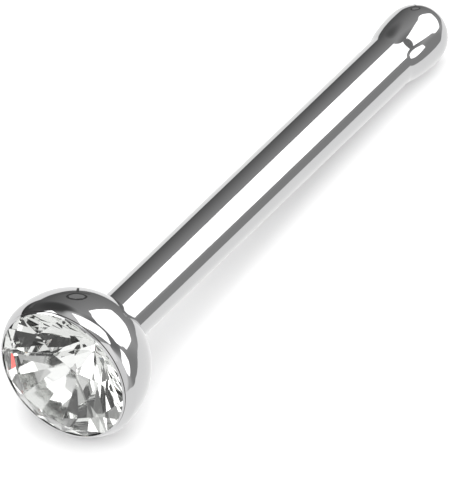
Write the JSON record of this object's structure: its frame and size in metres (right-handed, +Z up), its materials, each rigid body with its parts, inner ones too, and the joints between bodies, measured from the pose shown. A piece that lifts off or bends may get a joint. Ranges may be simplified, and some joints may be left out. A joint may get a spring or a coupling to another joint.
{
  "type": "nose stud",
  "caption": "Nose stud of the bone kind: a polished steel ball head set with a clear round brilliant, on a straight wire post with a rounded retaining bulb.",
  "frame": {"origin": "on the surface that the stud lies on, below the middle of its bounding box", "axes": "+Z up from the surface; +X along the stud's length from the stone to the retaining bulb; the post's axis falls by 4.06 degrees towards +X"},
  "size_m": [0.0102, 0.0022, 0.0023],
  "materials": {
    "polished_steel": "mirror polished stainless steel",
    "clear_stone": "clear, colourless crystal glass, cut and polished as a round brilliant, with a silvered back"
  },
  "bodies": {
    "root": {"setting": "polished_steel", "post": "polished_steel", "stone": "clear_stone"}
  },
  "joints": []
}
